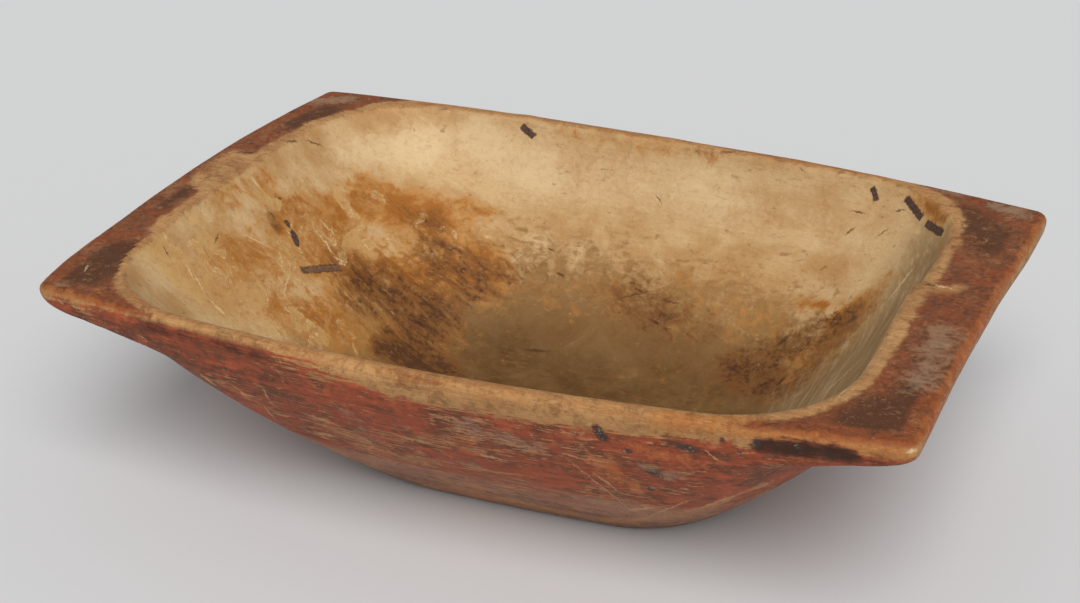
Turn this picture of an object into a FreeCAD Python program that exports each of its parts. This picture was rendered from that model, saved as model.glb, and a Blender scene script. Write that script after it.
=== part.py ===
import FreeCAD, Part
import math
import os
import Sketcher
from FreeCAD import Placement, Rotation, Vector

# Dug-out wooden dough trough, carved from one half log, as a parametric document.
# X runs along the trough, Y across it and Z up. The origin is the middle of the outline, at the level
# of the flat base. All sizes are in millimetres.

OUT_FOLDER = "parts"

# Driving sizes
SIZES = {
    "overall_length": 710,
    "overall_width": 502,
    "overall_height": 195,
    # plan curves that every level section shares
    "side_arc_radius": 2075,
    "left_end_arc_radius": 1400,
    "right_end_arc_radius": 20000,
    "widest_point_shift": 60,
    # hewn outside: flat base, raked ends, bellied sides, and a lug at each end with a cove under it
    "base_length": 322,
    "base_width": 203,
    "base_shift": 8,
    "base_end_flat": 19,
    "shoulder_corner": 82,
    "side_fullness": 1.5,
    "lug_overhang": 27,
    "lug_thickness": 12,
    "cove_drop": 47,
    "rim_corner": 11,
    "corner_hold": 1.8,
    # hollow: its mouth between the lugs, and the floor below
    "left_lug_width": 47,
    "right_lug_width": 64,
    "rim_thickness": 16,
    "mouth_corner": 98,
    "floor_thickness": 28,
    "floor_length": 280,
    "floor_width": 164,
    "floor_end_flat": 20,
    "hollow_corner_gain": 30,
    "hollow_side_fullness": 1.55,
    "left_wall_fullness": 1.1,
    "right_wall_fullness": 1.35,
    # softened edges
    "rim_round": 7,
    "base_round": 30,
    "floor_ease": 20,
    # dark fills in opened insect galleries: bearing in plan from the middle of the hollow, drop below
    # the rim, turn from level along the wall
    "back_left_bearing": 119,
    "back_left_drop": 12,
    "back_left_turn": 146,
    "back_left_length": 15,
    "back_left_bore": 3,
    "back_right_bearing": 46.5,
    "back_right_drop": 12,
    "back_right_turn": 122,
    "back_right_length": 11,
    "back_right_bore": 2.4,
    "corner_upper_bearing": 39,
    "corner_upper_drop": 12,
    "corner_upper_turn": 161,
    "corner_upper_length": 27,
    "corner_upper_bore": 2.9,
    "corner_lower_bearing": 32,
    "corner_lower_drop": 14,
    "corner_lower_turn": 190,
    "corner_lower_length": 32,
    "corner_lower_bore": 3.1,
    "left_long_bearing": 175,
    "left_long_drop": 78,
    "left_long_turn": 155,
    "left_long_length": 46,
    "left_long_bore": 3,
    "left_oval_bearing": 175,
    "left_oval_drop": 54,
    "left_oval_turn": 59,
    "left_oval_length": 18,
    "left_oval_bore": 3.4,
    "left_small_bearing": 174,
    "left_small_drop": 44,
    "left_small_turn": 71,
    "left_small_length": 7,
    "left_small_bore": 2.2,
}

# Level sections through the hull and through the hollow, evenly spaced.
HULL_STEPS = 24
HOLLOW_STEPS = 8

# Galleries that run along the wall, and galleries that leave the wood at a slant and so show as ovals.
BAR_FILLS = ("back_left", "back_right", "corner_upper", "corner_lower", "left_long")
OVAL_FILLS = ("left_oval", "left_small")

# How deep the middle line of a gallery lies under the wall, as a share of its bore.
SEAT_SHARE = 0.4

# The share of the side rim's thickness that one of its two rounded edges may take.
RIM_SHARE = 0.45


def make_sheet(doc, sizes):
    """Spreadsheet with one aliased cell for each size."""
    sheet = doc.addObject("Spreadsheet::Sheet", "Sizes")
    for row, (alias, value) in enumerate(sizes.items(), start=1):
        sheet.set(f"A{row}", alias)
        sheet.set(f"B{row}", str(value))
        sheet.setAlias(f"B{row}", alias)
    doc.recompute()
    return sheet


def origin_plane(body, role):
    return next(f for f in body.Origin.OriginFeatures if f.Role == role)


def corner_centre(side_centre, side_radius, end_centre, end_radius, corner_radius):
    """Centre of the arc that is tangent to a side arc and an end arc on their inner sides."""
    reach_side = side_radius - corner_radius
    reach_end = end_radius - corner_radius
    between = end_centre - side_centre
    gap = between.Length
    along = (reach_side**2 - reach_end**2 + gap**2) / (2 * gap)
    across = math.sqrt(reach_side**2 - along**2)
    unit = between / gap
    square = Vector(-unit.y, unit.x, 0)
    foot = side_centre + unit * along
    return max((foot + square * across, foot - square * across), key=lambda p: p.y)


def arc_between(centre, radius, start, end):
    """Counter-clockwise arc from the direction of start to the direction of end."""
    first = math.atan2(start.y - centre.y, start.x - centre.x)
    last = math.atan2(end.y - centre.y, end.x - centre.x)
    circle = Part.Circle(centre, Vector(0, 0, 1), radius)
    return Part.ArcOfCircle(circle, first, last)


def outline_arcs(left, right, half_width, corner, sheet):
    """Eight arcs, counter-clockwise from the right end: two ends, two sides, four corners."""
    side_radius = sheet.side_arc_radius
    end_radii = {1: sheet.right_end_arc_radius, -1: sheet.left_end_arc_radius}
    reach = {1: right, -1: left}
    side_centre = Vector(-sheet.widest_point_shift, half_width - side_radius, 0)
    end_centres = {s: Vector(s * (reach[s] - end_radii[s]), 0, 0) for s in (1, -1)}
    corners = {
        s: corner_centre(side_centre, side_radius, end_centres[s], end_radii[s], corner)
        for s in (1, -1)
    }

    def away(centre, through, radius):
        return centre + (through - centre).normalize() * radius

    def mirrored(point):
        return Vector(point.x, -point.y, 0)

    on_end = {s: away(end_centres[s], corners[s], end_radii[s]) for s in (1, -1)}
    on_side = {s: away(side_centre, corners[s], side_radius) for s in (1, -1)}
    front_centre = mirrored(side_centre)
    return [
        arc_between(end_centres[1], end_radii[1], mirrored(on_end[1]), on_end[1]),
        arc_between(corners[1], corner, on_end[1], on_side[1]),
        arc_between(side_centre, side_radius, on_side[1], on_side[-1]),
        arc_between(corners[-1], corner, on_side[-1], on_end[-1]),
        arc_between(end_centres[-1], end_radii[-1], on_end[-1], mirrored(on_end[-1])),
        arc_between(mirrored(corners[-1]), corner, mirrored(on_end[-1]), mirrored(on_side[-1])),
        arc_between(front_centre, side_radius, mirrored(on_side[-1]), mirrored(on_side[1])),
        arc_between(mirrored(corners[1]), corner, mirrored(on_side[1]), mirrored(on_end[1])),
    ]


# Places of the arcs in a section's list, and Sketcher's numbers for an arc's points.
RIGHT_END, BACK_RIGHT, BACK, BACK_LEFT, LEFT_END, FRONT_LEFT, FRONT, FRONT_RIGHT = range(8)
START, END, CENTRE = range(1, 4)
X_AXIS, ORIGIN_POINT = -1, 1


def add_section(body, sheet, name, height, left, right, half_width, corner):
    """Level section of the trough. The five sizes are expressions on the sheet's aliases."""
    sketch = body.newObject("Sketcher::SketchObject", name)
    sketch.AttachmentSupport = [(origin_plane(body, "XY_Plane"), "")]
    sketch.MapMode = "FlatFace"
    sketch.setExpression("AttachmentOffset.Base.z", height)
    value = {key: sheet.evalExpression(text) for key, text in
             {"left": left, "right": right, "half_width": half_width, "corner": corner}.items()}
    arcs = outline_arcs(value["left"], value["right"], value["half_width"], value["corner"], sheet)
    sketch.addGeometry(arcs, False)

    # the outline is one tangent chain
    for first in range(len(arcs)):
        second = (first + 1) % len(arcs)
        sketch.addConstraint(Sketcher.Constraint("Tangent", first, END, second, START))
    for other in (BACK_LEFT, FRONT_LEFT, FRONT_RIGHT):
        sketch.addConstraint(Sketcher.Constraint("Equal", BACK_RIGHT, other))
    sketch.addConstraint(Sketcher.Constraint("Equal", BACK, FRONT))
    sketch.addConstraint(Sketcher.Constraint("Symmetric", BACK, CENTRE, FRONT, CENTRE, X_AXIS))
    for end in (LEFT_END, RIGHT_END):
        sketch.addConstraint(Sketcher.Constraint("PointOnObject", end, CENTRE, X_AXIS))

    def bind(label, constraint, expression):
        index = sketch.addConstraint(constraint)
        sketch.renameConstraint(index, label)
        sketch.setExpression(f"Constraints.{label}", expression)

    def centre_x(arc):
        return arcs[arc].Center.x

    radius = {
        "corner_radius": (BACK_RIGHT, corner),
        "side_radius": (BACK, "Sizes.side_arc_radius"),
        "left_radius": (LEFT_END, "Sizes.left_end_arc_radius"),
        "right_radius": (RIGHT_END, "Sizes.right_end_arc_radius"),
    }
    for label, (arc, expression) in radius.items():
        bind(label, Sketcher.Constraint("Radius", arc, arcs[arc].Radius), expression)
    bind(
        "left_centre",
        Sketcher.Constraint("DistanceX", X_AXIS, ORIGIN_POINT, LEFT_END, CENTRE, centre_x(LEFT_END)),
        f"Sizes.left_end_arc_radius - ({left})",
    )
    bind(
        "right_centre",
        Sketcher.Constraint("DistanceX", X_AXIS, ORIGIN_POINT, RIGHT_END, CENTRE, centre_x(RIGHT_END)),
        f"({right}) - Sizes.right_end_arc_radius",
    )
    bind(
        "side_centre_along",
        Sketcher.Constraint("DistanceX", X_AXIS, ORIGIN_POINT, BACK, CENTRE, centre_x(BACK)),
        "-Sizes.widest_point_shift",
    )
    bind(
        "side_centre_across",
        Sketcher.Constraint("DistanceY", X_AXIS, ORIGIN_POINT, BACK, CENTRE, arcs[BACK].Center.y),
        f"({half_width}) - Sizes.side_arc_radius",
    )
    return sketch


def add_loft(body, kind, name, sections):
    loft = body.newObject(kind, name)
    loft.Profile = sections[0]
    loft.Sections = sections[1:]
    loft.Ruled = False
    for sketch in sections:
        sketch.Visibility = False
    return loft


def add_round(body, name, edge_names, radius):
    base = body.Tip
    fillet = body.newObject("PartDesign::Fillet", name)
    fillet.Base = (base, edge_names)
    fillet.setExpression("Radius", radius)
    return fillet


def level_edges(shape, height):
    """Names of the edges that lie in the level plane at height."""
    flat = 1e-3
    return [
        f"Edge{number}"
        for number, edge in enumerate(shape.Edges, start=1)
        if abs(edge.BoundBox.ZMin - height) < flat and abs(edge.BoundBox.ZMax - height) < flat
    ]


def from_base(side, length):
    """Reach of a base or floor outline of this length towards one end. The base is off centre."""
    sign = {"left": "-", "right": "+"}[side]
    return f"(Sizes.{length} / 2 {sign} Sizes.base_shift)"


def end_corner(outline):
    """Corner radius of the base or the floor, which leaves a short flat between two corners."""
    return f"((Sizes.{outline}_width - Sizes.{outline}_end_flat) / 2)"


def mouth_reach(side):
    return f"(Sizes.overall_length / 2 - Sizes.{side}_lug_width)"


def mouth_half_width():
    return "(Sizes.overall_width / 2 - Sizes.rim_thickness)"


def hull_section(body, sheet, step):
    """Section of the outside: the sides belly out, the ends are raked straight and flare to the lugs."""
    share = f"{step} / {HULL_STEPS}"
    height = f"Sizes.overall_height * {share}"
    into_cove = f"({height} - Sizes.overall_height + Sizes.cove_drop)"
    flare_rise = "(Sizes.cove_drop - Sizes.lug_thickness)"
    turn = f"min(max({into_cove} / {flare_rise}; 0); 1)"
    flare = f"({turn}^2 * (3 - 2 * {turn}))"
    rim_reach = "Sizes.overall_length / 2"

    def reach(side):
        base_reach = from_base(side, "base_length")
        raked = f"({base_reach} + ({rim_reach} - Sizes.lug_overhang - {base_reach}) * {share})"
        return f"({raked} + ({rim_reach} - {raked}) * {flare})"

    belly = f"(1 - (1 - {share})^Sizes.side_fullness)"
    width = f"(Sizes.base_width / 2 + (Sizes.overall_width - Sizes.base_width) / 2 * {belly})"
    base_corner = end_corner("base")
    hewn_corner = f"({base_corner} + (Sizes.shoulder_corner - {base_corner}) * {share})"
    corner = f"({hewn_corner} + (Sizes.rim_corner - {hewn_corner}) * {flare}^Sizes.corner_hold)"
    name = f"HullSection{step}"
    return add_section(body, sheet, name, height, reach("left"), reach("right"), width, corner)


def hollow_section(body, sheet, step):
    """Section of the hollow: its walls rise from the floor's outline to the mouth."""
    share = f"{step} / {HOLLOW_STEPS}"
    height = f"Sizes.floor_thickness + (Sizes.overall_height - Sizes.floor_thickness) * {share}"

    def risen(start, end, fullness):
        return f"({start} + ({end} - {start}) * (1 - (1 - {share})^Sizes.{fullness}))"

    def reach(side):
        return risen(from_base(side, "floor_length"), mouth_reach(side), f"{side}_wall_fullness")

    width = risen("Sizes.floor_width / 2", mouth_half_width(), "hollow_side_fullness")
    floor_corner = end_corner("floor")
    even_corner = f"({floor_corner} + (Sizes.mouth_corner - {floor_corner}) * {share})"
    corner = f"({even_corner} + Sizes.hollow_corner_gain * 4 * {share} * (1 - {share}))"
    name = f"HollowSection{step}"
    return add_section(body, sheet, name, height, reach("left"), reach("right"), width, corner)


def floor_round_radius():
    """Largest round between floor and walls that keeps the ease in the floor's corners.

    The steepest wall sets it, because there the round reaches furthest in over the floor.
    """
    ends = [f"Sizes.{side}_wall_fullness * ({mouth_reach(side)} - {from_base(side, 'floor_length')})"
            for side in ("left", "right")]
    sides = f"Sizes.hollow_side_fullness * ({mouth_half_width()} - Sizes.floor_width / 2)"
    foot_run = f"min({'; '.join(ends)}; {sides})"
    slope = f"atan((Sizes.overall_height - Sizes.floor_thickness) / {foot_run})"
    return f"({end_corner('floor')} - Sizes.floor_ease) / tan({slope} / 2)"


def make_trough(doc, sheet):
    """The carved trough: hull and hollow are lofts through level sections, with rounded edges."""
    body = doc.addObject("PartDesign::Body", "CarvedTrough")
    hull = [hull_section(body, sheet, step) for step in range(HULL_STEPS + 1)]
    doc.recompute()
    add_loft(body, "PartDesign::AdditiveLoft", "Hull", hull)
    doc.recompute()

    hollow = [hollow_section(body, sheet, step) for step in range(HOLLOW_STEPS + 1)]
    doc.recompute()
    block_volume = body.Tip.Shape.Volume
    add_loft(body, "PartDesign::SubtractiveLoft", "Hollow", hollow)
    doc.recompute()
    if body.Tip.Shape.Volume > 0.8 * block_volume:
        raise RuntimeError("the hollow cut too little")

    floor_edges = level_edges(body.Tip.Shape, sheet.floor_thickness)
    add_round(body, "FloorRound", floor_edges, floor_round_radius())
    doc.recompute()
    add_round(body, "BaseRound", level_edges(body.Tip.Shape, 0), "Sizes.base_round")
    doc.recompute()
    rim_limit = f"{RIM_SHARE} * Sizes.rim_thickness"
    add_round(body, "RimRound", level_edges(body.Tip.Shape, sheet.overall_height),
              f"min(Sizes.rim_round; {rim_limit})")
    doc.recompute()
    return body


def wall_point(shape, bearing, height):
    """Where a level ray from the middle of the hollow meets its wall, and the wall's normal there."""
    start = Vector(0, 0, height)
    angle = math.radians(bearing)
    far = shape.BoundBox.DiagonalLength
    ray = Part.makeLine(start, start + Vector(math.cos(angle), math.sin(angle), 0) * far)
    hits = [v.Point for v in ray.common(shape).Vertexes]
    point = min(hits, key=lambda p: p.distanceToPoint(start))
    vertex = Part.Vertex(point)
    face = min(shape.Faces, key=lambda f: f.distToShape(vertex)[0])
    normal = face.normalAt(*face.Surface.parameter(point))
    return point, normal


def seat_on_wall(tool, shape, sheet, name, middle_of_tool):
    """Lays a gallery's cutting shape, whose own Z is its run, into the wall of the hollow."""
    drop = sheet.get(f"{name}_drop")
    point, normal = wall_point(shape, sheet.get(f"{name}_bearing"), sheet.overall_height - drop)
    level = normal.cross(Vector(0, 0, 1)).normalize()
    rise = normal.cross(level)
    turn = math.radians(sheet.get(f"{name}_turn"))
    run = level * math.cos(turn) + rise * math.sin(turn)
    half_run = run * (sheet.get(f"{name}_length") / 2)
    # on a concave wall a straight gallery lies deeper at its ends, so its middle is raised by half of that
    ends = [Part.Vertex(point + half_run), Part.Vertex(point - half_run)]
    sag = sum(end.distToShape(shape.Shells[0])[0] for end in ends) / len(ends)
    depth = SEAT_SHARE * sheet.get(f"{name}_bore") - sag / 2
    middle = point - normal * depth
    turn_to_run = Rotation(run.cross(normal), normal, run, "ZYX")
    tool.Placement = Placement(middle - run * middle_of_tool, turn_to_run)


def make_fills(doc, sheet, body):
    """Cutting shapes of the galleries, and the dark fills, each flush with the wall it sits in."""
    tools = []
    for name in BAR_FILLS:
        tool = doc.addObject("Part::Cylinder", f"Gallery_{name}")
        tool.setExpression("Radius", f"Sizes.{name}_bore")
        tool.setExpression("Height", f"Sizes.{name}_length")
        doc.recompute()
        seat_on_wall(tool, body.Shape, sheet, name, sheet.get(f"{name}_length") / 2)
        tools.append((name, tool))
    for name in OVAL_FILLS:
        tool = doc.addObject("Part::Ellipsoid", f"Gallery_{name}")
        tool.setExpression("Radius1", f"Sizes.{name}_length / 2")
        tool.setExpression("Radius2", f"Sizes.{name}_bore")
        tool.setExpression("Radius3", f"Sizes.{name}_bore")
        doc.recompute()
        seat_on_wall(tool, body.Shape, sheet, name, 0)
        tools.append((name, tool))
    fills = []
    for name, tool in tools:
        fill = doc.addObject("Part::Common", f"Fill_{name}")
        fill.Base = body
        fill.Tool = tool
        fill.Label = f"fill_{name}"
        fills.append(fill)
    return [tool for _, tool in tools], fills


def open_galleries(doc, body, tools):
    """The trough with a seat cut for each fill."""
    galleries = doc.addObject("Part::Compound", "Galleries")
    galleries.Links = tools
    trough = doc.addObject("Part::Cut", "Trough")
    trough.Base = body
    trough.Tool = galleries
    trough.Label = "trough_body"
    return trough


def check(doc, pieces):
    """Stops with a message if an object failed or a piece isn't a sound solid."""
    for item in doc.Objects:
        if "Invalid" in item.State or "Error" in item.State:
            raise RuntimeError(f"{item.Label} failed: {item.State}")
    for piece in pieces:
        if piece.Shape.isNull() or not piece.Shape.isValid() or not piece.Shape.Solids:
            raise RuntimeError(f"{piece.Label} has no sound solid")


def main():
    doc = FreeCAD.newDocument("Trough")
    sheet = make_sheet(doc, SIZES)
    body = make_trough(doc, sheet)
    tools, fills = make_fills(doc, sheet, body)
    trough = open_galleries(doc, body, tools)
    pieces = [trough] + fills
    doc.recompute()
    check(doc, pieces)
    os.makedirs(OUT_FOLDER, exist_ok=True)
    for piece in pieces:
        piece.Shape.exportStep(os.path.join(OUT_FOLDER, piece.Label + ".step"))
        print(piece.Label, "volume", round(piece.Shape.Volume), "mm3")


main()
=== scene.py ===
import math

import bpy
import bmesh
import numpy as np
from mathutils import Matrix, Vector
from mathutils.bvhtree import BVHTree


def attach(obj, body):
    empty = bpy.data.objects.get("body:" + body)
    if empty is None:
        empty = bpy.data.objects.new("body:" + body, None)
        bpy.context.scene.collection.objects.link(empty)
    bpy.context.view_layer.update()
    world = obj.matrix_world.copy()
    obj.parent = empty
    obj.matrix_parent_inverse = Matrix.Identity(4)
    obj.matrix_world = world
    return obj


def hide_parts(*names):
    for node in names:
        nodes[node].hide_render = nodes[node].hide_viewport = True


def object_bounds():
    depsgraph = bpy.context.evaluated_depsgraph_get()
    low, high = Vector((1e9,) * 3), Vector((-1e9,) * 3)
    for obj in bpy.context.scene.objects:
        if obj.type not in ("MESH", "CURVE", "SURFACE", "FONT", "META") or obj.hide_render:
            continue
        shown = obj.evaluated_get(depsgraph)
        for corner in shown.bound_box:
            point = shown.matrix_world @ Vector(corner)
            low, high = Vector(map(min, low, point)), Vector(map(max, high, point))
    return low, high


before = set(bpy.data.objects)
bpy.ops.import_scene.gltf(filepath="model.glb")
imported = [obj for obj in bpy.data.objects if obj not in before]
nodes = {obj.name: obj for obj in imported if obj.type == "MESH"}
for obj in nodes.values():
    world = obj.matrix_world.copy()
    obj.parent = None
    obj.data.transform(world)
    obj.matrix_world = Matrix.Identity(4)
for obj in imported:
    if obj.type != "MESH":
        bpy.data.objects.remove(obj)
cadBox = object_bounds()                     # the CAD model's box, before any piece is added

scene = bpy.context.scene
scene.view_settings.view_transform = "Standard"
fillNames = sorted(name for name in nodes if name.startswith("fill_"))


# the photograph's camera; pixels are those of its own frame

view = {
    "frameSize": (1080, 603),
    "focal": 2152.6,                     # pixels
    "azimuth": 24.12,                    # degrees, as the next two
    "elevation": 26.35,
    "roll": -0.60,
    "distance": 1.8488,                  # metres
    "target": (-0.0442, 0.0668, 0.100),
    "sensor": 36,                        # millimetres
}


def viewAxes():
    a, e, r = (math.radians(view[k]) for k in ("azimuth", "elevation", "roll"))
    back = Vector((math.sin(a) * math.cos(e), -math.cos(a) * math.cos(e), math.sin(e)))
    level = Vector((math.cos(a), math.sin(a), 0))
    upright = back.cross(level)
    right = level * math.cos(r) + upright * math.sin(r)
    return right, back.cross(right), back


def eyePoint():
    return Vector(view["target"]) + viewAxes()[2] * view["distance"]


def pixelRay(x, y):
    right, up, back = viewAxes()
    width, height = view["frameSize"]
    return (right * (x - width / 2) - up * (y - height / 2) - back * view["focal"]).normalized()


def aimCamera():
    camera = bpy.data.objects.new("photoView", bpy.data.cameras.new("photoView"))
    camera.matrix_world = Matrix(viewAxes()).transposed().to_4x4()
    camera.matrix_world.translation = eyePoint()
    camera.data.sensor_width = view["sensor"]
    camera.data.lens = view["focal"] * view["sensor"] / view["frameSize"][0]
    scene.collection.objects.link(camera)
    scene.camera = camera


aimCamera()
print("camera set")


# arithmetic on node sockets, for materials and for geometry trees

class Wire:
    def __init__(self, tree, socket=None):
        self.tree = tree
        self.socket = socket

    def node(self, kind, settings=None, inputs=None, output=0):
        made = self.tree.nodes.new(kind)
        for key, value in (settings or {}).items():
            setattr(made, key, value)
        for key, value in (inputs or {}).items():
            plug = self.find(made.inputs, key)
            if isinstance(value, Wire):
                self.tree.links.new(value.socket, plug)
            else:
                plug.default_value = value
        return Wire(self.tree, self.find(made.outputs, output) if made.outputs else None)

    def find(self, sockets, key):
        if isinstance(key, int):
            return sockets[key]
        return next(s for s in sockets if key in (s.identifier, s.name))

    def calc(self, operation, *values):
        return self.node("ShaderNodeMath", {"operation": operation}, dict(enumerate(values)))

    def smooth(self, low, high, kind="SMOOTHSTEP"):      # 0 at low, 1 at high
        return self.node("ShaderNodeMapRange", {"interpolation_type": kind},
                         {"Value": self, "From Min": low, "From Max": high})

    def most(self, other):
        return self.calc("MAXIMUM", self, other)

    def __abs__(self):
        return self.calc("ABSOLUTE", self)

    def __add__(self, other):
        return self.calc("ADD", self, other)

    def __radd__(self, other):
        return self.calc("ADD", other, self)

    def __sub__(self, other):
        return self.calc("SUBTRACT", self, other)

    def __rsub__(self, other):
        return self.calc("SUBTRACT", other, self)

    def __mul__(self, other):
        return self.calc("MULTIPLY", self, other)

    def __rmul__(self, other):
        return self.calc("MULTIPLY", other, self)

    def __truediv__(self, other):
        return self.calc("DIVIDE", self, other)

    def __rtruediv__(self, other):
        return self.calc("DIVIDE", other, self)


# the trough's skin: the CAD surface as even quads, so that it can be hewn and painted

troughSkin = {
    "quad": 0.0036,                      # metres
    "mergeGap": 1e-6,
    "wallReach": 0.012,                  # how far round a fill the wall shows which way it faces
    "flushTurn": 0.8,                    # cosine of the most that a fill's flush face turns from that
    "seatReach": 0.009,                  # more than a seat's depth, and less than the wall's
    "seatSide": 0.0006,                  # how far a seat reaches sideways under the wall
    "fillStand": 0.00035,                # how far a fill stands out of the skin
    "sinkReach": (0.0055, 0.0105),       # round a fill, where the skin comes back up
    "farFill": 0.05,                     # the way to the nearest fill is measured up to here
    "rimLevel": cadBox[1].z,
    "levelSlack": 1e-5,
    "hollowLean": 0.8,                   # the hollow looks up more than this times what it looks outwards
    "topTurn": (0.25, 0.75),             # upward part of a normal where the top starts and is full
}
tiny = 1e-12                             # keeps a divisor from being zero


def joined(names):
    whole = bmesh.new()
    for name in names:
        whole.from_mesh(nodes[name].data)
    bmesh.ops.remove_doubles(whole, verts=whole.verts, dist=troughSkin["mergeGap"])
    return whole


def treeOf(mesh):
    tree = BVHTree.FromBMesh(mesh)
    mesh.free()
    return tree


def addFaces(whole, some):
    part = bpy.data.meshes.new("part")
    some.to_mesh(part)
    some.free()
    whole.from_mesh(part)
    bpy.data.meshes.remove(part)


def flushFaces():                        # the faces of the fills that lie in the wall
    wood = nodes["trough_body"].data.polygons
    centres = threes(wood, "center")
    spans = threes(wood, "normal") * np.array([face.area for face in wood])[:, None]
    flush = bmesh.new()
    for name in fillNames:
        middle = np.mean(threes(nodes[name].data.vertices, "co"), axis=0)
        near = np.linalg.norm(centres - middle, axis=1) < troughSkin["wallReach"]
        facing = Vector(spans[near].sum(0)).normalized()     # the same with or without a seat in the wall
        fill = joined([name])
        buried = [f for f in fill.faces if f.normal.dot(facing) < troughSkin["flushTurn"]]
        bmesh.ops.delete(fill, geom=buried, context="FACES")
        addFaces(flush, fill)
    return flush


def fillSide(spot):                      # height over the nearest fill's face, way to its side, its normal
    near, facing, _, gap = fillFaceTree.find_nearest(spot)
    height = (spot - near).dot(facing)
    return height, math.sqrt(max(gap * gap - height * height, 0)), facing


def seated(face):                        # wood that is right under a fill's face, or stands over it
    height, side, _ = fillSide(face.calc_center_median())
    return side < troughSkin["seatSide"] and abs(height) < troughSkin["seatReach"]


def outerFaces():                        # wood and fills as one surface
    whole = joined(["trough_body"])
    bmesh.ops.delete(whole, geom=[f for f in whole.faces if seated(f)], context="FACES")
    addFaces(whole, flushFaces())
    bmesh.ops.remove_doubles(whole, verts=whole.verts, dist=troughSkin["mergeGap"])
    return whole


def applied(piece, modifier):            # gives the piece the mesh that the modifier makes
    graph = bpy.context.evaluated_depsgraph_get()
    shaped = bpy.data.meshes.new_from_object(piece.evaluated_get(graph))
    piece.modifiers.remove(modifier)
    old = piece.data
    piece.data = shaped
    bpy.data.meshes.remove(old)
    shaped.name = piece.name
    return shaped


def evenSkin():
    whole = outerFaces()
    rough = bpy.data.meshes.new("roughSkin")
    whole.to_mesh(rough)
    whole.free()
    piece = bpy.data.objects.new("carvedTrough", rough)
    scene.collection.objects.link(piece)
    remesh = piece.modifiers.new("evenQuads", "REMESH")
    remesh.mode = "VOXEL"
    remesh.voxel_size = troughSkin["quad"]
    shaped = applied(piece, remesh)
    near, far = troughSkin["sinkReach"]
    for vertex in shaped.vertices:       # back onto the exact surface, and just below the face of a fill
        vertex.co = solidTree.find_nearest(vertex.co)[0]
        height, side, facing = fillSide(vertex.co)
        if abs(height) < troughSkin["seatReach"]:
            share = 1 - ease(side, near, far)
            vertex.co -= facing * max(height + troughSkin["fillStand"], 0) * share
    shaped.update()
    return piece


def topLoops():
    whole = joined(nodes)
    level = troughSkin["rimLevel"] - troughSkin["levelSlack"]
    top = {f for f in whole.faces if all(v.co.z > level for v in f.verts)}
    border = {e for e in whole.edges if sum(f in top for f in e.link_faces) == 1}
    loops = []
    while border:                        # follow each closed edge of the flat top all the way round
        edge = border.pop()
        loop, end = [edge], edge.verts[1]
        while edge := next((e for e in end.link_edges if e in border), None):
            border.remove(edge)
            loop.append(edge)
            end = edge.other_vert(end)
        loops.append(np.array([[v.co.xy for v in e.verts] for e in loop]))
    whole.free()
    return sorted(loops, key=lambda loop: np.ptp(loop[:, :, 0]))[-2:]


def stretchGap(points, a, b):            # from each point to the line between two others
    run = b - a
    share = np.clip((points - a) @ run / max(run @ run, tiny), 0, 1)
    return np.linalg.norm(points - a - share[:, None] * run, axis=1)


def planGap(points, loop):               # negative inside the loop
    gaps = np.full(len(points), np.inf)
    crossed = np.zeros(len(points), int)
    for a, b in loop:
        gaps = np.minimum(gaps, stretchGap(points, a, b))
        straddles = (a[1] > points[:, 1]) != (b[1] > points[:, 1])
        if straddles.any():
            at = a[0] + (points[:, 1] - a[1]) / (b[1] - a[1]) * (b[0] - a[0])
            crossed += straddles & (points[:, 0] < at)
    return np.where(crossed % 2 == 1, -gaps, gaps)


def ease(values, low, high):
    share = np.clip((values - low) / (high - low), 0, 1)
    return share * share * (3 - 2 * share)


def threes(collection, key):
    values = np.empty(len(collection) * 3, np.float32)
    collection.foreach_get(key, values)
    return values.reshape(-1, 3).astype(float)


fillTree = treeOf(joined(fillNames))
fillFaceTree = treeOf(flushFaces())
solidTree = treeOf(outerFaces())
carvedTrough = evenSkin()
skin = carvedTrough.data
place = threes(skin.vertices, "co")
normal = threes(skin.vertex_normals, "vector")
lipLoop, edgeLoop = topLoops()
lipGap = planGap(place[:, :2], lipLoop)          # negative over the hollow
edgeGap = -planGap(place[:, :2], edgeLoop)       # negative beyond the flat top
outward = place[:, :2] / np.maximum(np.linalg.norm(place[:, :2], axis=1), tiny)[:, None]
lean = (normal[:, :2] * outward).sum(1)
inHollow = (lipGap < 0) & (normal[:, 2] > troughSkin["hollowLean"] * lean)
onTop = ease(normal[:, 2], *troughSkin["topTurn"]) * ~inHollow
fillGap = np.array([min(fillTree.find_nearest(p)[3], troughSkin["farFill"]) for p in place])
drop = troughSkin["rimLevel"] - place[:, 2]
print("skin:", len(skin.polygons), "quads,", int(inHollow.sum()), "points in the hollow")


# soft marks, laid where the photograph shows them: path in its pixels, radius in millimetres, strength

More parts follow.
